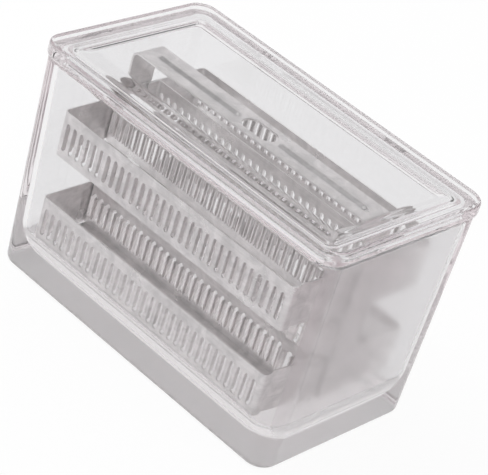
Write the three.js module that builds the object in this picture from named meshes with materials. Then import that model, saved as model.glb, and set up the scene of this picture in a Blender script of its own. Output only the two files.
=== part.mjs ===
// Glass slide staining jar: clear moulded glass jar and lid, with a folded stainless slide rack inside.
// Millimetres, +Z up. X runs along the long side, the base stands on Z = 0, the jar is centred on X and Y.
import * as THREE from 'three';

// ---- slide rack ----
const SHEET = 0.5;
const SEAT_GAP = 0.3;
const SLOT_COUNT = 31;
const SLOT_PITCH = 4.25;
const SLOT_WIDTH = 2;
const LIP_DEPTH = 1.7;
const RING_SLOT_END = [180, 120, 60, 0];
const DIVIDER_SLOT_END = [180, 90, 0];
const ROW_DEPTH = 27.5;
const DIVIDER_SPACING = 23.6;
const BAND_HEIGHT = 21;
const BAND_BELOW_SLOTS = 3.4;
const BAND_ABOVE_SLOTS = 4.6;
const UPPER_BAND_RISE = 43;
const END_MARGIN = 4.25;
const EDGE_POINT_EVERY = 15;
const BEND_RADIUS = 2.05;
const BEND_SEGMENTS = 3;
const DIVIDER_TAB = 7;
const SHELF_DEPTH = 3.5;

// ---- handle ----
const HANDLE_SHEET = 1;
const HANDLE_WIDTH = 15.5;
const HANDLE_BEND = 3;
const HANDLE_CLEARANCE = 2.9;
const RIB_HEIGHT = 0.9;
const RIB_WIDTH = 4.6;
const RIB_SEGMENTS = 4;
const RIB_END_INSET = 7.4;
const RIB_FROM_HOLE = 2.2;
const RIB_RAMP = 2;
const FINGER_HOLE_LENGTH = 18;
const FINGER_HOLE_WIDTH = 9.6;
const FINGER_HOLE_SEGMENTS = 8;

// ---- jar ----
const JAR_HEIGHT = 102.3;
const JAR_DRAFT = 1.8;
const JAR_CORNER_RADIUS = 9;
const JAR_BASE_RADIUS = 3;
const RIM_EDGE_RADIUS = 1.1;
const WALL_AT_RIM = 4.6;
const WALL_AT_FLOOR = 5.4;
const FLOOR_THICKNESS = 7.5;
const FLOOR_FILLET = 15;
const INNER_CORNER_AT_RIM = 6.5;
const INNER_CORNER_AT_FLOOR = 5;
const END_ROOM = 7.73;
const SIDE_ROOM = 0.68;
const CORNER_SEGMENTS = 5;
const FILLET_SEGMENTS = 8;

// ---- lid ----
const LID_FLANGE = 7;
const LID_OVERHANG_X = 0.9;
const LID_OVERHANG_Y = 0.45;
const LID_EDGE_RADIUS = 1.8;
const LID_CORNER_RADIUS = 9;
const LID_RIDGE_CLEARANCE = 1.2;
const LID_RIDGE_WIDTH = 4.6;
const LID_RIDGE_DEPTH = 1.8;
const LID_RIDGE_CORNER = 5.5;
const LID_RIDGE_SEGMENTS = 6;
const LID_RECESS_DEPTH = 1.5;
const LID_RECESS_SLOPE_X = 4;
const LID_RECESS_SLOPE_Y = 7.5;
const LID_RECESS_SEGMENTS = 4;

// ---- values that follow from the ones above ----
const FIRST_SLOT = -SLOT_PITCH * (SLOT_COUNT - 1) / 2;
const RING_HALF_LENGTH = -FIRST_SLOT + END_MARGIN;
const RING_HALF_WIDTH = DIVIDER_SPACING / 2 + ROW_DEPTH + SHEET;
const RING_MID_X = RING_HALF_LENGTH - SHEET / 2;
const RING_MID_Y = RING_HALF_WIDTH - SHEET / 2;
const DIVIDER_MID_X = RING_HALF_LENGTH - SHEET - SEAT_GAP - SHEET / 2;
const DIVIDER_MID_Y = DIVIDER_SPACING / 2 - SHEET / 2;
const HANDLE_HALF_LENGTH = RING_HALF_LENGTH + SEAT_GAP + HANDLE_SHEET;
const HANDLE_MID_X = HANDLE_HALF_LENGTH - HANDLE_SHEET / 2;
const WALL_AND_DRAFT_AT_FLOOR = WALL_AT_FLOOR + JAR_DRAFT * (1 - FLOOR_THICKNESS / JAR_HEIGHT);
const RIM_HALF_X = HANDLE_HALF_LENGTH + END_ROOM + WALL_AND_DRAFT_AT_FLOOR;
const RIM_HALF_Y = RING_HALF_WIDTH + SIDE_ROOM + WALL_AND_DRAFT_AT_FLOOR;
const LID_HALF_X = RIM_HALF_X + LID_OVERHANG_X;
const LID_HALF_Y = RIM_HALF_Y + LID_OVERHANG_Y;
const LID_BOTTOM = JAR_HEIGHT + SEAT_GAP;
const LID_TOP = LID_BOTTOM + LID_FLANGE;
const HANDLE_TOP = LID_BOTTOM + LID_RECESS_DEPTH - HANDLE_CLEARANCE - RIB_HEIGHT;
const HANDLE_MID_TOP = HANDLE_TOP - HANDLE_SHEET / 2;
const RACK_BOTTOM = rackSeatHeight();
const UPPER_BAND_BOTTOM = RACK_BOTTOM + UPPER_BAND_RISE;

// ---- materials ----
const clearGlass = new THREE.MeshStandardMaterial({
  name: 'clear_glass', color: 0xdfe5e3, roughness: 0.03, metalness: 0, transparent: true, opacity: 0.35,
});
const steel = new THREE.MeshStandardMaterial({
  name: 'stainless_steel', color: 0xa9a3a0, roughness: 0.34, metalness: 1,
});

/** Points of a rounded rectangle at one height, counter-clockwise seen from above. */
function roundedRectangle(halfX, halfY, radius, z) {
  const corners = [[1, 1, 0], [-1, 1, 1], [-1, -1, 2], [1, -1, 3]];
  const points = [];
  for (const [signX, signY, quarter] of corners) {
    for (let step = 0; step <= CORNER_SEGMENTS; step += 1) {
      const angle = (quarter + step / CORNER_SEGMENTS) * Math.PI / 2;
      points.push(new THREE.Vector3(
        signX * (halfX - radius) + radius * Math.cos(angle),
        signY * (halfY - radius) + radius * Math.sin(angle),
        z,
      ));
    }
  }
  return points;
}

/** One closed body from rings that run from its underside, up the outside and back to a last ring. */
function loftBody(rings) {
  const positions = [];
  const indices = [];
  const count = rings[0].length;
  rings.flat().forEach((point) => positions.push(point.x, point.y, point.z));
  for (let ring = 0; ring < rings.length - 1; ring += 1) {
    for (let i = 0; i < count; i += 1) {
      const a = ring * count + i;
      const b = ring * count + (i + 1) % count;
      indices.push(a, b, b + count, a, b + count, a + count);
    }
  }
  const first = positions.length / 3;
  positions.push(0, 0, rings[0][0].z);
  const last = first + 1;
  positions.push(0, 0, rings.at(-1)[0].z);
  const start = (rings.length - 1) * count;
  for (let i = 0; i < count; i += 1) {
    const next = (i + 1) % count;
    indices.push(first, next, i);
    indices.push(last, start + i, start + next);
  }
  return bufferGeometry(positions, indices);
}

/** A geometry with normals from a list of numbers and a list of triangle corners. */
function bufferGeometry(positions, indices) {
  const geometry = new THREE.BufferGeometry();
  geometry.setAttribute('position', new THREE.Float32BufferAttribute(positions, 3));
  geometry.setIndex(indices);
  geometry.computeVertexNormals();
  return geometry;
}

/** How far the jar's outside and inside have drawn in at a height, through the mould's draft. */
function jarOutsideInset(z) {
  return JAR_DRAFT * (1 - z / JAR_HEIGHT);
}

function jarInsideInset(z) {
  const share = (z - FLOOR_THICKNESS) / (JAR_HEIGHT - FLOOR_THICKNESS);
  const wall = WALL_AT_FLOOR + (WALL_AT_RIM - WALL_AT_FLOOR) * share;
  return wall + jarOutsideInset(z);
}

/** The height at which the rack's lower edges come to rest on the fillets along the jar's floor. */
function rackSeatHeight() {
  const centreZ = FLOOR_THICKNESS + FLOOR_FILLET;
  const reach = FLOOR_FILLET * Math.cos(Math.PI / 4 / FILLET_SEGMENTS) - SEAT_GAP;
  let height = centreZ;
  for (let pass = 0; pass < 5; pass += 1) {
    const centreY = RIM_HALF_Y - jarInsideInset(height) - FLOOR_FILLET;
    height = centreZ - Math.sqrt(reach ** 2 - (RING_HALF_WIDTH - centreY) ** 2);
  }
  return height;
}

function jarRing(inset, radius, z) {
  return roundedRectangle(RIM_HALF_X - inset, RIM_HALF_Y - inset, radius, z);
}

/** Rings of the outside, from the flat of the base up to the top of the rim. */
function jarOutsideRings() {
  const soften = JAR_BASE_RADIUS * (1 - Math.SQRT1_2);
  const low = jarOutsideInset(0);
  const radius = JAR_CORNER_RADIUS;
  const edge = RIM_EDGE_RADIUS * (1 - Math.SQRT1_2);
  return [
    jarRing(low + JAR_BASE_RADIUS, radius - JAR_BASE_RADIUS, 0),
    jarRing(low + soften, radius - soften, soften),
    jarRing(jarOutsideInset(JAR_BASE_RADIUS), radius, JAR_BASE_RADIUS),
    jarRing(jarOutsideInset(JAR_HEIGHT - RIM_EDGE_RADIUS), radius, JAR_HEIGHT - RIM_EDGE_RADIUS),
    jarRing(edge, radius - edge, JAR_HEIGHT - edge),
    jarRing(RIM_EDGE_RADIUS, radius - RIM_EDGE_RADIUS, JAR_HEIGHT),
  ];
}

/** Rings of the inside, from the top of the rim down the wall and round the fillet to the floor. */
function jarInsideRings() {
  const edge = RIM_EDGE_RADIUS * (1 - Math.SQRT1_2);
  const radius = INNER_CORNER_AT_RIM;
  const rings = [
    jarRing(WALL_AT_RIM - RIM_EDGE_RADIUS, radius + RIM_EDGE_RADIUS, JAR_HEIGHT),
    jarRing(WALL_AT_RIM - edge, radius + edge, JAR_HEIGHT - edge),
    jarRing(jarInsideInset(JAR_HEIGHT - RIM_EDGE_RADIUS), radius, JAR_HEIGHT - RIM_EDGE_RADIUS),
  ];
  const shrink = INNER_CORNER_AT_RIM - INNER_CORNER_AT_FLOOR;
  for (let step = 0; step <= FILLET_SEGMENTS; step += 1) {
    const angle = step / FILLET_SEGMENTS * Math.PI / 2;
    const z = FLOOR_THICKNESS + FLOOR_FILLET * (1 - Math.sin(angle));
    const inset = jarInsideInset(z) + FLOOR_FILLET * (1 - Math.cos(angle));
    rings.push(jarRing(inset, radius - shrink * step / FILLET_SEGMENTS, z));
  }
  return rings;
}

function glassJar() {
  return loftBody([...jarOutsideRings(), ...jarInsideRings()]);
}

/** Rings of the lid's underside, from its hollow out over the ridge that keeps the lid in the mouth. */
function lidUndersideRings() {
  const mouthX = RIM_HALF_X - WALL_AT_RIM - LID_RIDGE_CLEARANCE;
  const mouthY = RIM_HALF_Y - WALL_AT_RIM - LID_RIDGE_CLEARANCE;
  const ring = (insetX, insetY, rise) => {
    const radius = LID_RIDGE_CORNER * (1 - 0.5 * Math.min(1, insetX / LID_RIDGE_WIDTH));
    return roundedRectangle(mouthX - insetX, mouthY - insetY, radius, LID_BOTTOM + rise);
  };
  const rings = [];
  for (let step = LID_RECESS_SEGMENTS; step > 0; step -= 1) {
    const share = step / LID_RECESS_SEGMENTS;
    const insetX = LID_RIDGE_WIDTH + LID_RECESS_SLOPE_X * share;
    const insetY = LID_RIDGE_WIDTH + LID_RECESS_SLOPE_Y * share;
    rings.push(ring(insetX, insetY, LID_RECESS_DEPTH * (1 - Math.cos(Math.PI * share)) / 2));
  }
  for (let step = LID_RIDGE_SEGMENTS; step >= 0; step -= 1) {
    const share = step / LID_RIDGE_SEGMENTS;
    const inset = LID_RIDGE_WIDTH * share;
    rings.push(ring(inset, inset, -LID_RIDGE_DEPTH * (1 - Math.cos(2 * Math.PI * share)) / 2));
  }
  return rings;
}

/** The lid: a flange that rests on the rim, and underneath it a rounded ridge round a shallow hollow. */
function glassLid() {
  const halfX = LID_HALF_X;
  const halfY = LID_HALF_Y;
  const radius = LID_CORNER_RADIUS;
  const edge = LID_EDGE_RADIUS;
  const soften = edge * (1 - Math.SQRT1_2);
  return loftBody([
    ...lidUndersideRings(),
    roundedRectangle(halfX - edge, halfY - edge, radius - edge, LID_BOTTOM),
    roundedRectangle(halfX - soften, halfY - soften, radius - soften, LID_BOTTOM + soften),
    roundedRectangle(halfX, halfY, radius, LID_BOTTOM + edge),
    roundedRectangle(halfX, halfY, radius, LID_TOP - edge),
    roundedRectangle(halfX - soften, halfY - soften, radius - soften, LID_TOP - soften),
    roundedRectangle(halfX - edge, halfY - edge, radius - edge, LID_TOP),
  ]);
}

/** A thin sheet: points on its middle surface, each with the way its outer face lies, and triangles. */
class Sheet {
  constructor(thickness) {
    this.thickness = thickness;
    this.points = [];
    this.offsets = [];
    this.triangles = [];
  }

  add(point, offset) {
    this.points.push(point);
    this.offsets.push(offset);
    return this.points.length - 1;
  }

  triangle(a, b, c) {
    this.triangles.push([a, b, c]);
  }

  quad(a, b, c, d) {
    this.triangle(a, b, c);
    this.triangle(a, c, d);
  }

  /** The closed body: an outer face, an inner face and a wall along every free edge. */
  body() {
    const positions = [];
    const count = this.points.length;
    for (const side of [0.5, -0.5]) {
      this.points.forEach((point, i) => {
        const corner = point.clone().addScaledVector(this.offsets[i], side * this.thickness);
        positions.push(corner.x, corner.y, corner.z);
      });
    }
    const indices = [];
    const edges = new Set();
    for (const [a, b, c] of this.triangles) {
      indices.push(a, b, c, a + count, c + count, b + count);
      [[a, b], [b, c], [c, a]].forEach(([from, to]) => edges.add(`${from},${to}`));
    }
    for (const edge of edges) {
      const [from, to] = edge.split(',').map(Number);
      if (!edges.has(`${to},${from}`)) {
        indices.push(to, from, from + count, to, from + count, to + count);
      }
    }
    return bufferGeometry(positions, indices);
  }
}

/** A flat upright panel's own axes: along it, up it, and out of its outer face. */
function panelFrame(origin, along) {
  const out = new THREE.Vector3(along.y, -along.x, 0);
  return {
    along,
    out,
    at: (s, height, inward = 0) => origin.clone()
      .addScaledVector(along, s)
      .addScaledVector(out, -inward)
      .add(new THREE.Vector3(0, 0, height)),
  };
}

/**
 * The round end of a slot, from its left side to its right side, low end or high end. The two side points
 * lie on the folds of the slot's lips.
 */
function slotEnd(sheet, frame, centre, height, way, angles, lipDepth) {
  const half = SLOT_WIDTH / 2;
  return angles.map((degrees) => {
    const angle = degrees * Math.PI / 180;
    const side = degrees === 180 ? -1 : 1;
    const onFold = degrees === 180 || degrees === 0;
    const s = centre + half * Math.cos(angle) + (onFold ? side * SHEET / 2 : 0);
    const offset = frame.out.clone().addScaledVector(frame.along, onFold ? -side * Math.sign(lipDepth) : 0);
    return sheet.add(frame.at(s, height + way * half * Math.sin(angle)), offset);
  });
}

/** A lip folded back along one straight side of a slot, from its low end to its high end. */
function slotLip(sheet, frame, centre, side, low, high, lipDepth) {
  const s = centre + side * (SLOT_WIDTH + SHEET) / 2;
  const offset = frame.along.clone().multiplyScalar(-side * Math.sign(lipDepth));
  const bottom = sheet.add(frame.at(s, low.height, lipDepth), offset);
  const top = sheet.add(frame.at(s, high.height, lipDepth), offset);
  if (side < 0) {
    sheet.quad(high.point, low.point, bottom, top);
  } else {
    sheet.quad(low.point, high.point, top, bottom);
  }
}

/** Triangles between two level rows of points, each row sorted along the panel. */
function stitch(sheet, below, above) {
  let i = 0;
  let j = 0;
  while (i + 1 < below.length || j + 1 < above.length) {
    const stepBelow = j + 1 >= above.length || (i + 1 < below.length && below[i + 1].s <= above[j + 1].s);
    if (stepBelow) {
      sheet.triangle(below[i].point, below[i + 1].point, above[j].point);
      i += 1;
    } else {
      sheet.triangle(below[i].point, above[j + 1].point, above[j].point);
      j += 1;
    }
  }
}

/** The panel's lower or upper edge: its corner points and a few points between them. */
function panelEdge(sheet, frame, first, last, height, offset) {
  const between = [];
  for (let i = 0; i < SLOT_COUNT; i += EDGE_POINT_EVERY) {
    const s = FIRST_SLOT + i * SLOT_PITCH;
    between.push({ s, point: sheet.add(frame.at(s, height), offset) });
  }
  return [{ s: -Infinity, point: first }, ...between, { s: Infinity, point: last }];
}

/**
 * A row of closed, lipped slots between a panel's start and end columns. `lipDepth` is how far the lips
 * reach to the inner side; below zero they reach out. Returns the points of its foot.
 */
function slottedPanel(sheet, frame, start, end, angles, lipDepth, footOffset, footHeight) {
  const low = BAND_BELOW_SLOTS + SLOT_WIDTH / 2;
  const high = BAND_HEIGHT - BAND_ABOVE_SLOTS - SLOT_WIDTH / 2;
  const last = angles.length - 1;
  const cells = Array.from({ length: SLOT_COUNT }, (_, i) => {
    const centre = FIRST_SLOT + i * SLOT_PITCH;
    const lower = slotEnd(sheet, frame, centre, low, -1, angles, lipDepth);
    const upper = slotEnd(sheet, frame, centre, high, 1, angles, lipDepth);
    for (const [side, k] of [[-1, 0], [1, last]]) {
      const foldLow = { height: low, point: lower[k] };
      const foldHigh = { height: high, point: upper[k] };
      slotLip(sheet, frame, centre, side, foldLow, foldHigh, lipDepth);
    }
    return { centre, lower, upper };
  });
  for (let i = 0; i + 1 < cells.length; i += 1) {
    const [cell, next] = [cells[i], cells[i + 1]];
    sheet.quad(cell.lower[last - 1], next.lower[1], next.lower[0], cell.lower[last]);
    sheet.quad(cell.lower[last], next.lower[0], next.upper[0], cell.upper[last]);
    sheet.quad(cell.upper[last], next.upper[0], next.upper[1], cell.upper[last - 1]);
  }
  const [firstCell, lastCell] = [cells[0], cells.at(-1)];
  sheet.triangle(start[0], firstCell.lower[1], firstCell.lower[0]);
  sheet.quad(start[0], firstCell.lower[0], firstCell.upper[0], start[1]);
  sheet.triangle(start[1], firstCell.upper[0], firstCell.upper[1]);
  sheet.triangle(lastCell.lower[last], lastCell.lower[last - 1], end[0]);
  sheet.quad(lastCell.lower[last], end[0], end[1], lastCell.upper[last]);
  sheet.triangle(lastCell.upper[last], end[1], lastCell.upper[last - 1]);
  const inner = (name) => cells.flatMap((cell) => cell[name].slice(1, last).map((point, k) => (
    { s: cell.centre + k, point }
  )));
  const foot = panelEdge(sheet, frame, start[0], end[0], footHeight, footOffset);
  stitch(sheet, foot, inner('lower'));
  stitch(sheet, inner('upper'), panelEdge(sheet, frame, start[1], end[1], BAND_HEIGHT, frame.out));
  return foot.slice(1, -1);
}

/** A narrow shelf folded from a panel's foot; `inward` is negative for one on the outer side. */
function foldShelf(sheet, frame, foot, inward) {
  const offset = new THREE.Vector3(0, 0, inward > 0 ? -1 : 1);
  const edge = foot.map(({ s }) => sheet.add(frame.at(s, SHEET / 2, inward), offset));
  for (let i = 0; i + 1 < foot.length; i += 1) {
    sheet.quad(foot[i + 1].point, foot[i].point, edge[i], edge[i + 1]);
  }
}

/** The way the outer face lies at a folded foot. */
function foldedFootOffset(frame, inward) {
  return frame.out.clone().add(new THREE.Vector3(0, 0, inward > 0 ? -1 : 1));
}

/** A column of two points, at the foot and the top of an upright sheet. */
function column(sheet, x, y, out) {
  return [0, BAND_HEIGHT].map((height) => sheet.add(new THREE.Vector3(x, y, height), out.clone()));
}

/** Columns round a quarter bend, from the angle `from` on by 90 degrees, ends included. */
function bendColumns(sheet, centreX, centreY, from) {
  return Array.from({ length: BEND_SEGMENTS + 1 }, (_, i) => {
    const angle = (from + 90 * i / BEND_SEGMENTS) * Math.PI / 180;
    const out = new THREE.Vector3(Math.cos(angle), Math.sin(angle), 0);
    return column(sheet, centreX + BEND_RADIUS * out.x, centreY + BEND_RADIUS * out.y, out);
  });
}

function joinColumns(sheet, columns) {
  for (let i = 0; i + 1 < columns.length; i += 1) {
    sheet.quad(columns[i][0], columns[i + 1][0], columns[i + 1][1], columns[i][1]);
  }
}

/** One storey of the rack: a closed ring of sheet, slotted along both long sides. */
function slottedRing(withShelf) {
  const sheet = new Sheet(SHEET);
  const bendX = RING_MID_X - BEND_RADIUS;
  const bendY = RING_MID_Y - BEND_RADIUS;
  const bends = [
    bendColumns(sheet, bendX, -bendY, -90),
    bendColumns(sheet, bendX, bendY, 0),
    bendColumns(sheet, -bendX, bendY, 90),
    bendColumns(sheet, -bendX, -bendY, 180),
  ];
  bends.forEach((bend) => joinColumns(sheet, bend));
  joinColumns(sheet, [bends[0].at(-1), bends[1][0]]);
  joinColumns(sheet, [bends[2].at(-1), bends[3][0]]);
  for (const [side, from, to] of [[-1, bends[3], bends[0]], [1, bends[1], bends[2]]]) {
    const origin = new THREE.Vector3(0, side * RING_MID_Y, 0);
    const frame = panelFrame(origin, new THREE.Vector3(-side, 0, 0));
    const footOffset = withShelf ? foldedFootOffset(frame, SHELF_DEPTH) : frame.out;
    const footHeight = withShelf ? SHEET / 2 : 0;
    const foot = slottedPanel(
      sheet, frame, from.at(-1), to[0], RING_SLOT_END, LIP_DEPTH, footOffset, footHeight,
    );
    if (withShelf) {
      foldShelf(sheet, frame, foot, SHELF_DEPTH);
    }
  }
  return sheet.body();
}

/** A slotted divider with a tab folded at each end, lying on the front side of the middle. */
function slottedDivider(withShelf) {
  const sheet = new Sheet(SHEET);
  const bendX = DIVIDER_MID_X - BEND_RADIUS;
  const bendY = BEND_RADIUS - DIVIDER_MID_Y;
  const tabY = DIVIDER_TAB - DIVIDER_MID_Y;
  const left = bendColumns(sheet, -bendX, bendY, 180);
  const right = bendColumns(sheet, bendX, bendY, -90);
  const leftTab = column(sheet, -DIVIDER_MID_X, tabY, new THREE.Vector3(-1, 0, 0));
  const rightTab = column(sheet, DIVIDER_MID_X, tabY, new THREE.Vector3(1, 0, 0));
  joinColumns(sheet, [leftTab, ...left]);
  joinColumns(sheet, [...right, rightTab]);
  const frame = panelFrame(new THREE.Vector3(0, -DIVIDER_MID_Y, 0), new THREE.Vector3(1, 0, 0));
  const footOffset = withShelf ? foldedFootOffset(frame, -SHELF_DEPTH) : frame.out;
  const footHeight = withShelf ? SHEET / 2 : 0;
  const foot = slottedPanel(
    sheet, frame, left.at(-1), right[0], DIVIDER_SLOT_END, -LIP_DEPTH, footOffset, footHeight,
  );
  if (withShelf) {
    foldShelf(sheet, frame, foot, -SHELF_DEPTH);
  }
  return sheet.body();
}

/** A row of points across the handle strip, raised by `rise` along the crest of its round rib. */
function handleRow(sheet, x, z, out, rise) {
  const point = (y, lift) => (
    sheet.add(new THREE.Vector3(x, y, z).addScaledVector(out, lift), out.clone())
  );
  const row = [point(-HANDLE_WIDTH / 2, 0)];
  for (let i = 0; i <= RIB_SEGMENTS; i += 1) {
    const share = i / RIB_SEGMENTS;
    row.push(point(RIB_WIDTH * (share - 0.5), rise * (1 - Math.cos(2 * Math.PI * share)) / 2));
  }
  row.push(point(HANDLE_WIDTH / 2, 0));
  return row;
}

function joinRows(sheet, rows) {
  for (let i = 0; i + 1 < rows.length; i += 1) {
    for (let k = 0; k + 1 < rows[i].length; k += 1) {
      sheet.quad(rows[i][k], rows[i + 1][k], rows[i + 1][k + 1], rows[i][k + 1]);
    }
  }
}

/** Rows of one half of the handle, from the foot of its leg to the start of the finger hole's field. */
function handleHalfRows(sheet, side) {
  const up = new THREE.Vector3(0, 0, 1);
  const outward = new THREE.Vector3(side, 0, 0);
  const centreX = side * (HANDLE_MID_X - HANDLE_BEND);
  const centreZ = HANDLE_MID_TOP - HANDLE_BEND;
  const rows = [handleRow(sheet, side * HANDLE_MID_X, RACK_BOTTOM, outward, 0)];
  for (let i = 0; i <= BEND_SEGMENTS; i += 1) {
    const angle = i / BEND_SEGMENTS * Math.PI / 2;
    const out = new THREE.Vector3(side * Math.cos(angle), 0, Math.sin(angle));
    rows.push(handleRow(sheet, centreX + HANDLE_BEND * out.x, centreZ + HANDLE_BEND * out.z, out, 0));
  }
  const ribOuter = HANDLE_MID_X - RIB_END_INSET;
  const ribInner = FINGER_HOLE_LENGTH / 2 + RIB_FROM_HOLE;
  rows.push(handleRow(sheet, side * ribOuter, HANDLE_MID_TOP, up, 0));
  rows.push(handleRow(sheet, side * (ribOuter - RIB_RAMP), HANDLE_MID_TOP, up, RIB_HEIGHT));
  rows.push(handleRow(sheet, side * (ribInner + RIB_RAMP), HANDLE_MID_TOP, up, RIB_HEIGHT));
  rows.push(handleRow(sheet, side * ribInner, HANDLE_MID_TOP, up, 0));
  return rows;
}

/** The flat field between the two ribs, with the long finger hole through it. */
function fingerHoleField(sheet, leftRow, rightRow) {
  const flat = (index) => new THREE.Vector2(sheet.points[index].x, sheet.points[index].y);
  const outline = [leftRow[0], ...rightRow, ...leftRow.slice(1).reverse()];
  const hole = [];
  const radius = FINGER_HOLE_WIDTH / 2;
  const reach = FINGER_HOLE_LENGTH / 2 - radius;
  for (const side of [1, -1]) {
    for (let i = 0; i <= FINGER_HOLE_SEGMENTS; i += 1) {
      const angle = (i / FINGER_HOLE_SEGMENTS - 0.5) * Math.PI;
      const x = side * (reach + radius * Math.cos(angle));
      const y = side * radius * Math.sin(angle);
      hole.push(sheet.add(new THREE.Vector3(x, y, HANDLE_MID_TOP), new THREE.Vector3(0, 0, 1)));
    }
  }
  const all = [...outline, ...hole];
  const faces = THREE.ShapeUtils.triangulateShape(outline.map(flat), [hole.map(flat)]);
  for (const [a, b, c] of faces) {
    const [pa, pb, pc] = [flat(all[a]), flat(all[b]), flat(all[c])];
    const turn = pb.sub(pa).cross(pc.sub(pa));
    sheet.triangle(...(turn > 0 ? [all[a], all[b], all[c]] : [all[a], all[c], all[b]]));
  }
}

/** The lifting handle: one strip down both ends of the rack and over the top, ribbed, with a finger hole. */
function liftingHandle() {
  const sheet = new Sheet(HANDLE_SHEET);
  const left = handleHalfRows(sheet, -1);
  const right = handleHalfRows(sheet, 1).reverse();
  joinRows(sheet, left);
  joinRows(sheet, right);
  fingerHoleField(sheet, left.at(-1), right[0]);
  return sheet.body();
}

/** The same body seen in a mirror that stands along X. */
function mirrored(geometry) {
  const copy = geometry.clone().scale(1, -1, 1);
  const corners = Array.from(copy.index.array);
  for (let i = 0; i < corners.length; i += 3) {
    [corners[i], corners[i + 1]] = [corners[i + 1], corners[i]];
  }
  copy.setIndex(corners);
  copy.computeVertexNormals();
  return copy;
}

function addPiece(group, name, geometry, material, z = 0) {
  const mesh = new THREE.Mesh(geometry, material);
  mesh.name = name;
  mesh.position.z = z;
  group.add(mesh);
}

const jar = new THREE.Group();
addPiece(jar, 'glass_jar', glassJar(), clearGlass);
addPiece(jar, 'glass_lid', glassLid(), clearGlass);
const storeys = [['upper', UPPER_BAND_BOTTOM, false], ['lower', RACK_BOTTOM, true]];
for (const [storey, bottom, withShelf] of storeys) {
  const divider = slottedDivider(withShelf);
  addPiece(jar, `${storey}_ring`, slottedRing(withShelf), steel, bottom);
  addPiece(jar, `${storey}_front_divider`, divider, steel, bottom);
  addPiece(jar, `${storey}_back_divider`, mirrored(divider), steel, bottom);
}
addPiece(jar, 'lifting_handle', liftingHandle(), steel);

export default jar;
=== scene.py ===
import math

import bpy
from mathutils import Matrix, Vector


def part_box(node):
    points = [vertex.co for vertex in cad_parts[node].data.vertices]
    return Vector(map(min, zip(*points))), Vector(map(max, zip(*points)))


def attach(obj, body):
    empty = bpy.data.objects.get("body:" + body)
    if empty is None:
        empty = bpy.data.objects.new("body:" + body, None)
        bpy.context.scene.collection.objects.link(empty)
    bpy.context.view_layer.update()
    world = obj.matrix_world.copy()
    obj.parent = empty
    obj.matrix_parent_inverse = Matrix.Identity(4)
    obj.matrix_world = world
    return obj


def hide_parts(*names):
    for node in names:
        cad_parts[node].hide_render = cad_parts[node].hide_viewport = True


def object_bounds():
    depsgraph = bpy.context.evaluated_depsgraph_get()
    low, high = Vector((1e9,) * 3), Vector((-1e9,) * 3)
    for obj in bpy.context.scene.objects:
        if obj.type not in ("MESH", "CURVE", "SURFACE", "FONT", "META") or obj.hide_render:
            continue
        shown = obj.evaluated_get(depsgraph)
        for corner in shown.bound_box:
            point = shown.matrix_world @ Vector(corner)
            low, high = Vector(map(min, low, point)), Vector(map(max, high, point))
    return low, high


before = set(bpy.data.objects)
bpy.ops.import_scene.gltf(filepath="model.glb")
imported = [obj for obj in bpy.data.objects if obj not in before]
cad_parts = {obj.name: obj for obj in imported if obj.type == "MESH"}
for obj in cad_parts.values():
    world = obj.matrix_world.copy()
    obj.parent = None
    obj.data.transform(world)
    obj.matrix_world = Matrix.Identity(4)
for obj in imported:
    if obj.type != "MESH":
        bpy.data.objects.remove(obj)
cad_low, cad_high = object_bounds()
scene = bpy.context.scene

MM = 0.001

# Lengths are in millimetres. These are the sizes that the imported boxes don't give.
SHEET = 0.5
SLOT_COUNT = 31
SLOT_PITCH = 4.25
SLOT_WIDTH = 2.0
SLOT_LOW = 4.4  # the straight sides of a slot run between these heights above the band's foot
SLOT_HIGH = 15.4
LIP_DEPTH = 1.7
LIP_FOLD = 0.4
RING_BEND = 2.05
DIVIDER_BEND = 1.3
SHELF_DEPTH = 3.5
SHELF_FOLD = 0.7

HANDLE_SHEET = 1.0
HANDLE_BEND = 3.0
HANDLE_EDGE = 0.18
RIB_HEIGHT = 0.9
RIB_WIDTH = 4.6
RIB_END_INSET = 7.4
RIB_FROM_HOLE = 2.2
RIB_RAMP = 2.0
RIB_SURROUND = 0.8
HOLE_LENGTH = 18.0
HOLE_WIDTH = 9.6

JAR_DRAFT = 1.8
JAR_CORNER = 9.0
BASE_RADIUS = 3.0
RIM_EDGE = 1.1
WALL_AT_RIM = 4.6
WALL_AT_FLOOR = 5.4
FLOOR = 7.5
FILLET = 15.0
INNER_CORNER_RIM = 6.5
INNER_CORNER_FLOOR = 5.0

LID_GAP = 0.3
LID_EDGE = 1.8
LID_CORNER = 9.0
RIDGE_CLEARANCE = 1.2
RIDGE_WIDTH = 4.6
RIDGE_DEPTH = 1.8
RIDGE_CORNER = 5.5
RECESS_DEPTH = 1.5
RECESS_SLOPE_X = 4.0
RECESS_SLOPE_Y = 7.5

# How many steps make each curve.
CORNER_STEPS = 12
BASE_STEPS = 6
RIM_STEPS = 5
FILLET_STEPS = 20
LID_EDGE_STEPS = 6
RECESS_STEPS = 10
RIDGE_STEPS = 14
SLOT_END_STEPS = 8
LIP_STEPS = 3
SHELF_STEPS = 4
BEND_STEPS = 8
END_PANEL_STEPS = 6
HANDLE_BEND_STEPS = 10
RIB_STEPS = 12
RAMP_STEPS = 6
STRAP_STEPS = 12

# The part of the inside that is cloudy, up from the jar's underside.
CLOUDY_HEIGHT = FLOOR + FILLET * 0.4

# What the studio looks like from the glass and steel: grey level by the height of the direction.
WHITE = (1, 1, 1, 1)
SKY_FIRST, SKY_LAST = 0.02, 0.9
SKY_BANDS = ((0.05, 0.05), (0.17, 0.05), (0.23, 0.7), (0.42, 1), (0.64, 1), (0.7, 0.05), (0.84, 0.05))
FLOOR_DROP = 0.0002  # metres between the floor and the jar
FLOOR_GLOW_SEEN = 0.94
FLOOR_GLOW_IN_GLASS = 0.82
LIGHT_BOUNCES = 40  # light crosses many walls of glass


def node_box(node):
    low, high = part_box(node)
    return Vector(low) / MM, Vector(high) / MM


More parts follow.
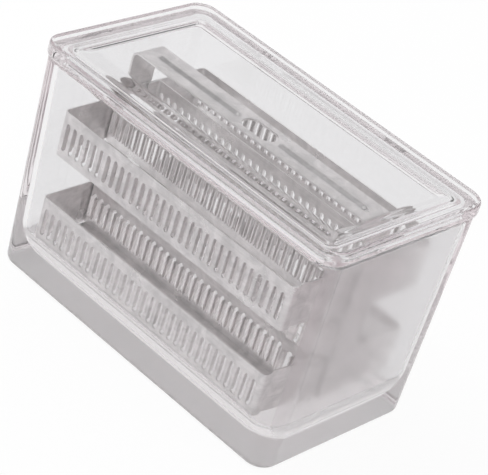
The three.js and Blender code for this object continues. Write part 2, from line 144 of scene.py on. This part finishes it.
# ---------------------------------------------------------------- meshes
def new_object(name, points, faces, smooth=True, unit=MM):
    mesh = bpy.data.meshes.new(name)
    mesh.from_pydata([tuple(c * unit for c in p) for p in points], [], faces)
    mesh.validate()
    mesh.update()
    obj = bpy.data.objects.new(name, mesh)
    scene.collection.objects.link(obj)
    for polygon in mesh.polygons:
        polygon.use_smooth = smooth
    return obj


def apply_modifiers(obj):
    graph = bpy.context.evaluated_depsgraph_get()
    mesh = bpy.data.meshes.new_from_object(obj.evaluated_get(graph))
    obj.modifiers.clear()
    obj.data = mesh


def weighted_normals(obj):
    modifier = obj.modifiers.new("weighted_normals", "WEIGHTED_NORMAL")
    modifier.mode = "FACE_AREA"
    modifier.weight = 60
    modifier.keep_sharp = True


def rounded_rectangle(half_x, half_y, radius, z):
    points = []
    for sign_x, sign_y, quarter in ((1, 1, 0), (-1, 1, 1), (-1, -1, 2), (1, -1, 3)):
        for i in range(CORNER_STEPS + 1):
            angle = (quarter + i / CORNER_STEPS) * math.pi / 2
            points.append(Vector((
                sign_x * (half_x - radius) + radius * math.cos(angle),
                sign_y * (half_y - radius) + radius * math.sin(angle),
                z,
            )))
    return points


def loft(name, rings):
    """A closed body from rings, from the middle of its underside round to the middle of its last ring."""
    count = len(rings[0])
    points = [p for ring in rings for p in ring]
    faces = []
    for r in range(len(rings) - 1):
        for i in range(count):
            a, b = r * count + i, r * count + (i + 1) % count
            faces.append((a, b, b + count, a + count))
    faces.append(tuple(reversed(range(count))))
    faces.append(tuple(range((len(rings) - 1) * count, len(rings) * count)))
    obj = new_object(name, points, faces)
    weighted_normals(obj)
    return obj


# ---------------------------------------------------------------- the glass
rim = node_box("glass_jar")[1]
lid_high = node_box("glass_lid")[1]


def outside_inset(z):
    return JAR_DRAFT * (1 - z / rim.z)


def inside_inset(z):
    share = (z - FLOOR) / (rim.z - FLOOR)
    return WALL_AT_FLOOR + (WALL_AT_RIM - WALL_AT_FLOOR) * share + outside_inset(z)


def jar_ring(inset, radius, z):
    return rounded_rectangle(rim.x - inset, rim.y - inset, radius, z)


def quarter_turn(steps):
    return [i / steps * math.pi / 2 for i in range(steps + 1)]


def jar_glass():
    """From the underside up the outside, over the rim and down to the floor inside."""
    rings = []
    for angle in quarter_turn(BASE_STEPS):
        z = BASE_RADIUS * (1 - math.cos(angle))
        pulled_in = BASE_RADIUS * (1 - math.sin(angle))
        rings.append(jar_ring(outside_inset(z) + pulled_in, JAR_CORNER - pulled_in, z))
    for angle in quarter_turn(RIM_STEPS):
        inset = RIM_EDGE * (1 - math.cos(angle))
        z = rim.z - RIM_EDGE + RIM_EDGE * math.sin(angle)
        rings.append(jar_ring(inset, JAR_CORNER - inset, z))
    for angle in quarter_turn(RIM_STEPS):
        inset = WALL_AT_RIM - RIM_EDGE * (1 - math.sin(angle))
        radius = INNER_CORNER_RIM + WALL_AT_RIM - inset
        z = rim.z - RIM_EDGE + RIM_EDGE * math.cos(angle)
        rings.append(jar_ring(inset, radius, z))
    for angle in quarter_turn(FILLET_STEPS):
        z = FLOOR + FILLET * (1 - math.sin(angle))
        inset = inside_inset(z) + FILLET * (1 - math.cos(angle))
        share = angle / (math.pi / 2)
        radius = INNER_CORNER_RIM + (INNER_CORNER_FLOOR - INNER_CORNER_RIM) * share
        rings.append(jar_ring(inset, radius, z))
    return loft("jar_glass", rings)


def lid_underside(bottom):
    """From the hollow in the middle outward, over the ridge that sits in the mouth."""
    mouth_x = rim.x - WALL_AT_RIM - RIDGE_CLEARANCE
    mouth_y = rim.y - WALL_AT_RIM - RIDGE_CLEARANCE

    def ring(inset_x, inset_y, rise):
        radius = RIDGE_CORNER * (1 - 0.5 * min(1, inset_x / RIDGE_WIDTH))
        return rounded_rectangle(mouth_x - inset_x, mouth_y - inset_y, radius, bottom + rise)

    rings = []
    for i in range(RECESS_STEPS, 0, -1):
        share = i / RECESS_STEPS
        rise = RECESS_DEPTH * (1 - math.cos(math.pi * share)) / 2
        inset_x = RIDGE_WIDTH + RECESS_SLOPE_X * share
        inset_y = RIDGE_WIDTH + RECESS_SLOPE_Y * share
        rings.append(ring(inset_x, inset_y, rise))
    for i in range(RIDGE_STEPS, -1, -1):
        share = i / RIDGE_STEPS
        drop = RIDGE_DEPTH * (1 - math.cos(2 * math.pi * share)) / 2
        rings.append(ring(RIDGE_WIDTH * share, RIDGE_WIDTH * share, -drop))
    return rings


def lid_glass():
    bottom, top = rim.z + LID_GAP, lid_high.z

    def ring(inset, z):
        return rounded_rectangle(lid_high.x - inset, lid_high.y - inset, LID_CORNER - inset, z)

    rings = lid_underside(bottom)
    for angle in quarter_turn(LID_EDGE_STEPS):
        rings.append(ring(LID_EDGE * (1 - math.sin(angle)), bottom + LID_EDGE * (1 - math.cos(angle))))
    for angle in quarter_turn(LID_EDGE_STEPS):
        rings.append(ring(LID_EDGE * (1 - math.cos(angle)), top - LID_EDGE + LID_EDGE * math.sin(angle)))
    return loft("lid_glass", rings)


# ---------------------------------------------------------------- the rack's folded sheet
class Path:
    """A level line of straight runs joined by round left-hand bends, measured from its start."""

    def __init__(self, start, heading, runs, radius):
        self.parts = []
        point, way, s = Vector(start), Vector(heading), 0.0
        bend = radius * math.pi / 2
        for index, length in enumerate(runs):
            self.parts.append(("run", s, s + length, point.copy(), way.copy()))
            s += length
            point = point + way * length
            side = Vector((-way.y, way.x))
            self.parts.append(("bend", s, s + bend, point + side * radius, way.copy()))
            s += bend
            point = point + side * radius + way * radius
            way = side
        self.radius = radius

    def place(self, s, height, inward=0.0):
        """The point s along the line, at this height and this far to its left."""
        for kind, first, last, point, way in self.parts:
            if s <= last + 1e-9:
                break
        side = Vector((-way.y, way.x))
        if kind == "run":
            flat = point + way * (s - first) + side * inward
        else:
            turn = (s - first) / self.radius
            flat = point + (way * math.sin(turn) - side * math.cos(turn)) * (self.radius - inward)
        return Vector((flat.x, flat.y, height))

    def run(self, index):
        """Where this straight run starts and ends along the line."""
        return self.parts[2 * index][1:3]

    def bend(self, index):
        """Where the bend after this run starts and ends along the line."""
        return self.parts[2 * index + 1][1:3]


WELD_SHIFT = 0.000137  # keeps the sheet's round coordinates off the limit between two welding keys


class Sheet:
    """The middle surface of one folded sheet, welded point by point, then given its thickness."""

    def __init__(self, place):
        self.place = place
        self.points = []
        self.index = {}
        self.faces = []

    def corner(self, s, height, inward=0.0):
        point = self.place(s, height, inward)
        key = tuple(round(c + WELD_SHIFT, 3) for c in point)
        if key not in self.index:
            self.index[key] = len(self.points)
            self.points.append(point)
        return self.index[key]

    def face(self, *corners):
        self.faces.append([self.corner(*c) for c in corners])

    def body(self, name, thickness, bevel=0.0):
        obj = new_object(name, self.points, self.faces)
        solid = obj.modifiers.new("thickness", "SOLIDIFY")
        solid.thickness = thickness * MM
        solid.offset = 0
        solid.use_even_offset = True
        if bevel:
            edge = obj.modifiers.new("edges", "BEVEL")
            edge.width = bevel * MM
            edge.segments = 2
            edge.limit_method = "ANGLE"
            edge.angle_limit = math.radians(50)
        apply_modifiers(obj)
        obj.data.set_sharp_from_angle(angle=math.radians(38))
        weighted_normals(obj)
        return obj


def slot_cell(sheet, centre, borders, foot, top, lip):
    """A round-ended slot between two borders, with a lip folded back along each straight side."""
    half = SLOT_WIDTH / 2
    fold = half + SHEET / 2 + LIP_FOLD
    left, right = borders[0] - centre, borders[1] - centre
    for level, edge in ((SLOT_LOW, foot), (SLOT_HIGH, top)):
        way = 1 if edge > level else -1
        middle = (level + edge) / 2
        outer = [(left, level), (left, middle), (left, edge), (left / 2, edge), (0, edge),
                 (right / 2, edge), (right, edge), (right, middle), (right, level)]
        turns = [i / SLOT_END_STEPS * math.pi for i in range(SLOT_END_STEPS + 1)]
        arc = [(-half * math.cos(turn), level + way * half * math.sin(turn)) for turn in turns]
        for i in range(SLOT_END_STEPS):
            corners = [outer[i], outer[i + 1], arc[i + 1], arc[i]]
            if i == 0:
                corners.append((-fold, level))
            if i == SLOT_END_STEPS - 1:
                corners.insert(2, (fold, level))
            if way > 0:
                corners.reverse()
            sheet.face(*[(centre + s, h) for s, h in corners])
    for side, border in ((-1, -left), (1, right)):
        profile = [(border, 0.0), (fold, 0.0)]
        for angle in quarter_turn(LIP_STEPS)[1:]:
            profile.append((fold - LIP_FOLD * math.sin(angle), LIP_FOLD * (1 - math.cos(angle))))
        profile.append((half + SHEET / 2, LIP_DEPTH))
        for (s0, d0), (s1, d1) in zip(profile, profile[1:]):
            a = (centre + side * s0, d0 * lip)
            b = (centre + side * s1, d1 * lip)
            if side > 0:
                a, b = b, a
            sheet.face((a[0], SLOT_LOW, a[1]), (b[0], SLOT_LOW, b[1]),
                       (b[0], SLOT_HIGH, b[1]), (a[0], SLOT_HIGH, a[1]))


def plain_columns(sheet, stations, heights):
    """Sheet without slots, with points at the heights where a slotted run has them."""
    for s0, s1 in zip(stations, stations[1:]):
        for h0, h1 in zip(heights, heights[1:]):
            sheet.face((s0, h0), (s1, h0), (s1, h1), (s0, h1))


def shelf(sheet, stations, way):
    """A narrow shelf folded from the foot of the slotted length."""
    profile = []
    for angle in quarter_turn(SHELF_STEPS):
        height = SHEET / 2 + SHELF_FOLD * (1 - math.sin(angle))
        profile.append((height, SHELF_FOLD * (1 - math.cos(angle))))
    profile.append((SHEET / 2, SHELF_DEPTH))
    for (h0, d0), (h1, d1) in zip(profile, profile[1:]):
        for s0, s1 in zip(stations, stations[1:]):
            sheet.face((s0, h1, d1 * way), (s1, h1, d1 * way), (s1, h0, d0 * way), (s0, h0, d0 * way))


def band_foot(with_shelf):
    return SHEET / 2 + SHELF_FOLD if with_shelf else 0.0


def slotted_run(sheet, run, band_height, lip, with_shelf):
    """A straight run with its row of slots; its lips and shelf go left, or right where lip is -1."""
    middle = (run[0] + run[1]) / 2
    foot = band_foot(with_shelf)
    centres = [middle + (i - (SLOT_COUNT - 1) / 2) * SLOT_PITCH for i in range(SLOT_COUNT)]
    borders = [run[0]] + [(a + b) / 2 for a, b in zip(centres, centres[1:])] + [run[1]]
    stations = [run[0]]
    for i, centre in enumerate(centres):
        left, right = borders[i], borders[i + 1]
        slot_cell(sheet, centre, (left, right), foot, band_height, lip)
        stations += [(left + centre) / 2, centre, (centre + right) / 2, right]
    if with_shelf:
        shelf(sheet, stations, lip)


def band_heights(band_height, with_shelf):
    foot = band_foot(with_shelf)
    inner = [(SLOT_LOW + foot) / 2, SLOT_LOW, SLOT_HIGH, (SLOT_HIGH + band_height) / 2, band_height]
    return sorted({0.0, foot}) + inner


def stations_between(ends, steps=BEND_STEPS):
    first, last = ends
    return [first + (last - first) * i / steps for i in range(steps + 1)]


def slotted_ring(node, with_shelf):
    """A storey's outer strip, with slots in both long sides and its lips and shelves turned inward."""
    low, high = node_box(node)
    band = high.z - low.z
    straight_x = high.x - SHEET / 2 - RING_BEND
    straight_y = high.y - SHEET / 2 - RING_BEND
    runs = [2 * straight_x, 2 * straight_y] * 2
    path = Path((-straight_x, -high.y + SHEET / 2), (1, 0), runs, RING_BEND)
    sheet = Sheet(lambda s, h, d=0.0: path.place(s, low.z + h, d))
    heights = band_heights(band, with_shelf)
    for index in range(4):
        if index % 2 == 0:
            slotted_run(sheet, path.run(index), band, 1, with_shelf)
        else:
            plain_columns(sheet, stations_between(path.run(index), END_PANEL_STEPS), heights)
        plain_columns(sheet, stations_between(path.bend(index)), heights)
    return sheet.body(node + "_steel", SHEET)


def slotted_divider(node, with_shelf):
    """A strip along the middle of a storey, with its lips and shelf towards its own row of slides."""
    low, high = node_box(node)
    band = high.z - low.z
    front = low.y + high.y < 0
    way = 1 if front else -1
    tab_end = min(abs(low.y), abs(high.y))
    upper_low, upper_high = node_box(node.replace("lower", "upper"))
    panel = max(abs(upper_low.y), abs(upper_high.y)) - LIP_DEPTH
    end_x = high.x - SHEET / 2
    tab = panel - DIVIDER_BEND - tab_end
    straight_x = end_x - DIVIDER_BEND
    path = Path((-way * end_x, -way * tab_end), (0, -way), [tab, 2 * straight_x, tab], DIVIDER_BEND)
    sheet = Sheet(lambda s, h, d=0.0: path.place(s, low.z + h, d))
    heights = band_heights(band, with_shelf)
    plain_columns(sheet, path.run(0), heights)
    plain_columns(sheet, stations_between(path.bend(0)), heights)
    slotted_run(sheet, path.run(1), band, -1, with_shelf)
    plain_columns(sheet, stations_between(path.bend(1)), heights)
    plain_columns(sheet, path.run(2), heights)
    return sheet.body(node + "_steel", SHEET)


# ---------------------------------------------------------------- the lifting handle
def smooth_step(share):
    share = max(0.0, min(1.0, share))
    return share * share * (3 - 2 * share)


def handle_steel():
    """Two legs and a strap with a rib on each half, made from both ends in to the finger hole."""
    low, high = node_box("lifting_handle")
    mid_x = high.x - HANDLE_SHEET / 2
    mid_z = high.z - RIB_HEIGHT - HANDLE_SHEET / 2
    half_width = high.y
    rib_outer = mid_x - RIB_END_INSET
    rib_inner = HOLE_LENGTH / 2 + RIB_FROM_HOLE
    radius = HOLE_WIDTH / 2
    reach = HOLE_LENGTH / 2 - radius
    across = [-half_width, -half_width * 0.65]
    across += [RIB_WIDTH * (i / RIB_STEPS - 0.5) for i in range(RIB_STEPS + 1)]
    across += [half_width * 0.65, half_width]
    hole_edge = rib_inner - RIB_SURROUND

    def rise(x, y):
        along = min(smooth_step((rib_outer - abs(x)) / RIB_RAMP),
                    smooth_step((abs(x) - rib_inner) / RIB_RAMP))
        round_off = 0.5 + 0.5 * math.cos(2 * math.pi * max(-0.5, min(0.5, y / RIB_WIDTH)))
        return RIB_HEIGHT * along * round_off

    def place(x, y, z=0.0):
        return Vector((x, y, z or mid_z + rise(x, y)))

    sheet = Sheet(place)
    for side in (-1, 1):
        leg_top = mid_z - HANDLE_BEND
        stations = [(mid_x, low.z), (mid_x, (low.z + mid_z - HANDLE_BEND) / 2), (mid_x, leg_top)]
        for angle in quarter_turn(HANDLE_BEND_STEPS)[1:]:
            stations.append((mid_x - HANDLE_BEND * (1 - math.cos(angle)),
                             mid_z - HANDLE_BEND * (1 - math.sin(angle))))
        stations.append((rib_outer + RIB_SURROUND, mid_z))
        ramp_out = [rib_outer - RIB_RAMP * i / RAMP_STEPS for i in range(RAMP_STEPS + 1)]
        length = ramp_out[-1] - rib_inner - RIB_RAMP
        run = [ramp_out[-1] - length * i / STRAP_STEPS for i in range(1, STRAP_STEPS)]
        ramp_in = [rib_inner + RIB_RAMP * (1 - i / RAMP_STEPS) for i in range(RAMP_STEPS + 1)]
        flat = [(x, 0.0) for x in ramp_out + run + ramp_in + [hole_edge]]
        rows = [(x, z) for x, z in stations] + flat
        for (x0, z0), (x1, z1) in zip(rows, rows[1:]):
            for y0, y1 in zip(across, across[1:]):
                corners = [(side * x0, y0, z0), (side * x0, y1, z0),
                           (side * x1, y1, z1), (side * x1, y0, z1)]
                if side < 0:
                    corners.reverse()
                sheet.face(*corners)
    count = len(across) - 1
    for side in (-1, 1):
        outer = [(side * hole_edge, y) for y in across]
        arc = [(side * (reach + radius * math.cos((i / count - 0.5) * math.pi)),
                radius * math.sin((i / count - 0.5) * math.pi)) for i in range(count + 1)]
        for i in range(count):
            corners = [outer[i], outer[i + 1], arc[i + 1], arc[i]]
            if side < 0:
                corners.reverse()
            sheet.face(*corners)
        corners = [(side * hole_edge, side * half_width), (-side * hole_edge, side * half_width),
                   (-side * reach, side * radius), (side * reach, side * radius)]
        sheet.face(*corners)
    return sheet.body("lifting_handle_steel", HANDLE_SHEET, bevel=HANDLE_EDGE)


# ---------------------------------------------------------------- materials
def material(name):
    made = bpy.data.materials.new(name)
    made.use_nodes = True
    nodes = made.node_tree.nodes
    nodes.clear()
    return made, nodes, made.node_tree.links


def maths(nodes, links, operation, first, second):
    """A Math node's result; second is a socket or a number."""
    node = nodes.new("ShaderNodeMath")
    node.operation = operation
    links.new(first, node.inputs[0])
    if isinstance(second, float):
        node.inputs[1].default_value = second
    else:
        links.new(second, node.inputs[1])
    return node.outputs[0]


def noise_on(nodes, links, vector, scale, detail, distortion=0.0):
    noise = nodes.new("ShaderNodeTexNoise")
    noise.inputs["Scale"].default_value = scale
    noise.inputs["Detail"].default_value = detail
    noise.inputs["Distortion"].default_value = distortion
    links.new(vector, noise.inputs["Vector"])
    return noise.outputs["Fac"]


def mapped(nodes, links, value, source, result):
    node = nodes.new("ShaderNodeMapRange")
    node.inputs["From Min"].default_value, node.inputs["From Max"].default_value = source
    node.inputs["To Min"].default_value, node.inputs["To Max"].default_value = result
    links.new(value, node.inputs["Value"])
    return node.outputs["Result"]


def bump_on(nodes, links, height, strength, distance):
    bump = nodes.new("ShaderNodeBump")
    bump.inputs["Strength"].default_value = strength
    bump.inputs["Distance"].default_value = distance
    links.new(height, bump.inputs["Height"])
    return bump.outputs["Normal"]


def glass_material(name, tint, roughness=0.0, milky=0.0):
    """Pressed glass; milky is the share of its surface that scatters light instead of letting it through."""
    made, nodes, links = material(name)
    out = nodes.new("ShaderNodeOutputMaterial")
    shader = nodes.new("ShaderNodeBsdfPrincipled")
    shader.inputs["Base Color"].default_value = tint
    shader.inputs["Roughness"].default_value = roughness
    shader.inputs["IOR"].default_value = 1.5
    shader.inputs["Transmission Weight"].default_value = 1 - milky
    place = nodes.new("ShaderNodeTexCoord").outputs["Object"]
    ripple = noise_on(nodes, links, place, 55, 1)
    links.new(bump_on(nodes, links, ripple, 0.005, 0.0005), shader.inputs["Normal"])
    links.new(shader.outputs["BSDF"], out.inputs["Surface"])
    absorb = nodes.new("ShaderNodeVolumeAbsorption")
    absorb.inputs["Color"].default_value = (0.88, 0.80, 0.82, 1)
    absorb.inputs["Density"].default_value = 6
    links.new(absorb.outputs["Volume"], out.inputs["Volume"])
    return made


def steel_material():
    """Satin sheet with a fine level grain, cloudy gloss and darker stains."""
    made, nodes, links = material("stainless_steel")
    out = nodes.new("ShaderNodeOutputMaterial")
    shader = nodes.new("ShaderNodeBsdfPrincipled")
    shader.inputs["Metallic"].default_value = 1.0
    place = nodes.new("ShaderNodeTexCoord").outputs["Object"]
    stretch = nodes.new("ShaderNodeMapping")
    stretch.inputs["Scale"].default_value = (60, 60, 1500)
    links.new(place, stretch.inputs["Vector"])
    grain = noise_on(nodes, links, stretch.outputs["Vector"], 1, 3)
    ramp = nodes.new("ShaderNodeValToRGB")
    dark, light = ramp.color_ramp.elements
    dark.position, dark.color = 0.3, (0.84, 0.805, 0.805, 1)
    light.position, light.color = 0.7, (0.94, 0.905, 0.905, 1)
    links.new(grain, ramp.inputs["Fac"])
    stains = noise_on(nodes, links, place, 130, 5, 1.2)
    stained = nodes.new("ShaderNodeMix")
    stained.data_type = "RGBA"
    stained.blend_type = "MULTIPLY"
    stained.inputs["Factor"].default_value = 1.0
    links.new(ramp.outputs["Color"], stained.inputs["A"])
    links.new(mapped(nodes, links, stains, (0.35, 0.65), (0.78, 1.0)), stained.inputs["B"])
    links.new(stained.outputs["Result"], shader.inputs["Base Color"])
    clouds = noise_on(nodes, links, place, 60, 4)
    links.new(mapped(nodes, links, clouds, (0.3, 0.7), (0.26, 0.38)), shader.inputs["Roughness"])
    links.new(bump_on(nodes, links, grain, 0.1, 0.0002), shader.inputs["Normal"])
    links.new(shader.outputs["BSDF"], out.inputs["Surface"])
    return made


# ---------------------------------------------------------------- pieces
def add_piece(obj, materials, body, node):
    for one in materials:
        obj.data.materials.append(one)
    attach(obj, body)
    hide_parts(node)


def finish_jar(jar):
    """The underside is ground and the inside of the floor cloudy. The inside of one end is a lighter, milky
    glass: painted light that brightens that end wall.
    """
    _, ground_slot, painted_light_end_slot, cloudy_slot = range(len(jar.data.materials))
    mid_wall = (WALL_AT_RIM / 2 + JAR_DRAFT) * MM
    for polygon in jar.data.polygons:
        centre = polygon.center
        inside = abs(centre.x) < rim.x * MM - mid_wall and abs(centre.y) < rim.y * MM - mid_wall
        if centre.z < 0.5 * MM:
            polygon.material_index = ground_slot
        elif inside and centre.z < CLOUDY_HEIGHT * MM:
            polygon.material_index = cloudy_slot
        # painted light: the inside of this one end gets the lighter, milky glass, so that this end wall
        # looks brighter
        elif inside and polygon.normal.x < -0.7:
            polygon.material_index = painted_light_end_slot


glass = glass_material("clear_glass", (0.90, 0.90, 0.905, 1))
ground = glass_material("ground_glass", (1.0, 0.98, 0.985, 1), roughness=0.85)
# painted light: a lighter, milky copy of the clear glass, used only to brighten the end wall it covers
painted_light_end = glass_material("painted_light_end_glass", (1.0, 0.99, 1.0, 1), roughness=0.2, milky=0.2)
cloudy = glass_material("cloudy_glass", (1.0, 0.98, 0.985, 1), roughness=0.22, milky=0.06)
steel = steel_material()
jar = jar_glass()
add_piece(jar, (glass, ground, painted_light_end, cloudy), "jar", "glass_jar")
finish_jar(jar)
add_piece(lid_glass(), (glass,), "lid", "glass_lid")
for storey, with_shelf in (("upper", False), ("lower", True)):
    node = storey + "_ring"
    add_piece(slotted_ring(node, with_shelf), (steel,), "jar", node)
    for where in ("front", "back"):
        node = storey + "_" + where + "_divider"
        add_piece(slotted_divider(node, with_shelf), (steel,), "jar", node)
add_piece(handle_steel(), (steel,), "jar", "lifting_handle")


# ---------------------------------------------------------------- studio
def studio_rays(nodes, links):
    """1 where a camera, glossy or transmission ray looks, 0 for light that falls on a surface."""
    path = nodes.new("ShaderNodeLightPath").outputs
    seen = maths(nodes, links, "MAXIMUM", path["Is Camera Ray"], path["Is Glossy Ray"])
    return maths(nodes, links, "MAXIMUM", seen, path["Is Transmission Ray"])


def floor_material():
    """White where it is looked at, directly or by way of glass and steel, less a little for the shadow."""
    made, nodes, links = material("floor_white")
    out = nodes.new("ShaderNodeOutputMaterial")
    plain = nodes.new("ShaderNodeBsdfDiffuse")
    plain.inputs["Color"].default_value = (0.9, 0.9, 0.9, 1)
    glow = nodes.new("ShaderNodeEmission")
    glow.inputs["Color"].default_value = WHITE
    glow.inputs["Strength"].default_value = 1.0
    path = nodes.new("ShaderNodeLightPath").outputs
    straight = maths(nodes, links, "MULTIPLY", path["Is Camera Ray"], FLOOR_GLOW_SEEN)
    others = maths(nodes, links, "MAXIMUM", path["Is Glossy Ray"], path["Is Transmission Ray"])
    bent = maths(nodes, links, "MULTIPLY", others, FLOOR_GLOW_IN_GLASS)
    mix = nodes.new("ShaderNodeMixShader")
    links.new(maths(nodes, links, "MAXIMUM", straight, bent), mix.inputs["Fac"])
    links.new(plain.outputs[0], mix.inputs[1])
    links.new(glow.outputs[0], mix.inputs[2])
    links.new(mix.outputs[0], out.inputs["Surface"])
    return made


FLOOR_CORNERS = [(-3, -3, 0), (3, -3, 0), (3, 3, 0), (-3, 3, 0)]
floor = new_object("floor", FLOOR_CORNERS, [(0, 1, 2, 3)], smooth=False, unit=1)
floor.location.z = cad_low.z - FLOOR_DROP
floor.data.materials.append(floor_material())


def world_light():
    """Even light for surfaces, and bands of white and dark for what looks past them."""
    world = bpy.data.worlds.new("studio")
    scene.world = world
    world.use_nodes = True
    nodes, links = world.node_tree.nodes, world.node_tree.links
    nodes.clear()
    out = nodes.new("ShaderNodeOutputWorld")
    place = nodes.new("ShaderNodeTexCoord")
    split = nodes.new("ShaderNodeSeparateXYZ")
    ramp = nodes.new("ShaderNodeValToRGB")
    stops = ramp.color_ramp.elements
    stops[0].position, stops[0].color = SKY_FIRST, WHITE
    stops[1].position, stops[1].color = SKY_LAST, WHITE
    for position, shade in SKY_BANDS:
        stop = stops.new(position)
        stop.color = (shade, shade, shade, 1)
    links.new(place.outputs["Generated"], split.inputs[0])
    links.new(split.outputs["Z"], ramp.inputs["Fac"])
    seen = nodes.new("ShaderNodeBackground")
    links.new(ramp.outputs["Color"], seen.inputs["Color"])
    seen.inputs["Strength"].default_value = 1.0
    light = nodes.new("ShaderNodeBackground")
    light.inputs["Color"].default_value = (0.75, 0.75, 0.76, 1)
    light.inputs["Strength"].default_value = 1.0
    mix = nodes.new("ShaderNodeMixShader")
    links.new(studio_rays(nodes, links), mix.inputs["Fac"])
    links.new(light.outputs[0], mix.inputs[1])
    links.new(seen.outputs[0], mix.inputs[2])
    links.new(mix.outputs[0], out.inputs["Surface"])


def area_lamp(name, location, size, watts):
    data = bpy.data.lights.new(name, "AREA")
    data.shape = "SQUARE"
    data.size = size
    data.energy = watts
    lamp = bpy.data.objects.new(name, data)
    lamp.location = location
    lamp.rotation_euler = (-Vector(location)).to_track_quat("-Z", "Y").to_euler()
    lamp.visible_glossy = False
    lamp.visible_transmission = False
    scene.collection.objects.link(lamp)


world_light()
area_lamp("key_light", (-0.5, -0.2, 0.9), size=0.5, watts=4)

# The camera was fitted to the outlines of the jar, the lid and the rack in the photograph.
camera_data = bpy.data.cameras.new("camera")
camera_data.lens = 158.64
camera_data.sensor_width = 36
camera_data.clip_start = 0.05
camera_data.clip_end = 50
camera = bpy.data.objects.new("camera", camera_data)
camera.matrix_world = Matrix((
    (0.687036, -0.533123, 0.493722, 0.45065),
    (0.681242, 0.236232, -0.692895, -0.620888),
    (0.252765, 0.812388, 0.525486, 0.526022),
    (0, 0, 0, 1),
))
scene.collection.objects.link(camera)
scene.camera = camera
scene.view_settings.view_transform = "Standard"
scene.cycles.max_bounces = LIGHT_BOUNCES
scene.cycles.transmission_bounces = LIGHT_BOUNCES
scene.cycles.glossy_bounces = LIGHT_BOUNCES
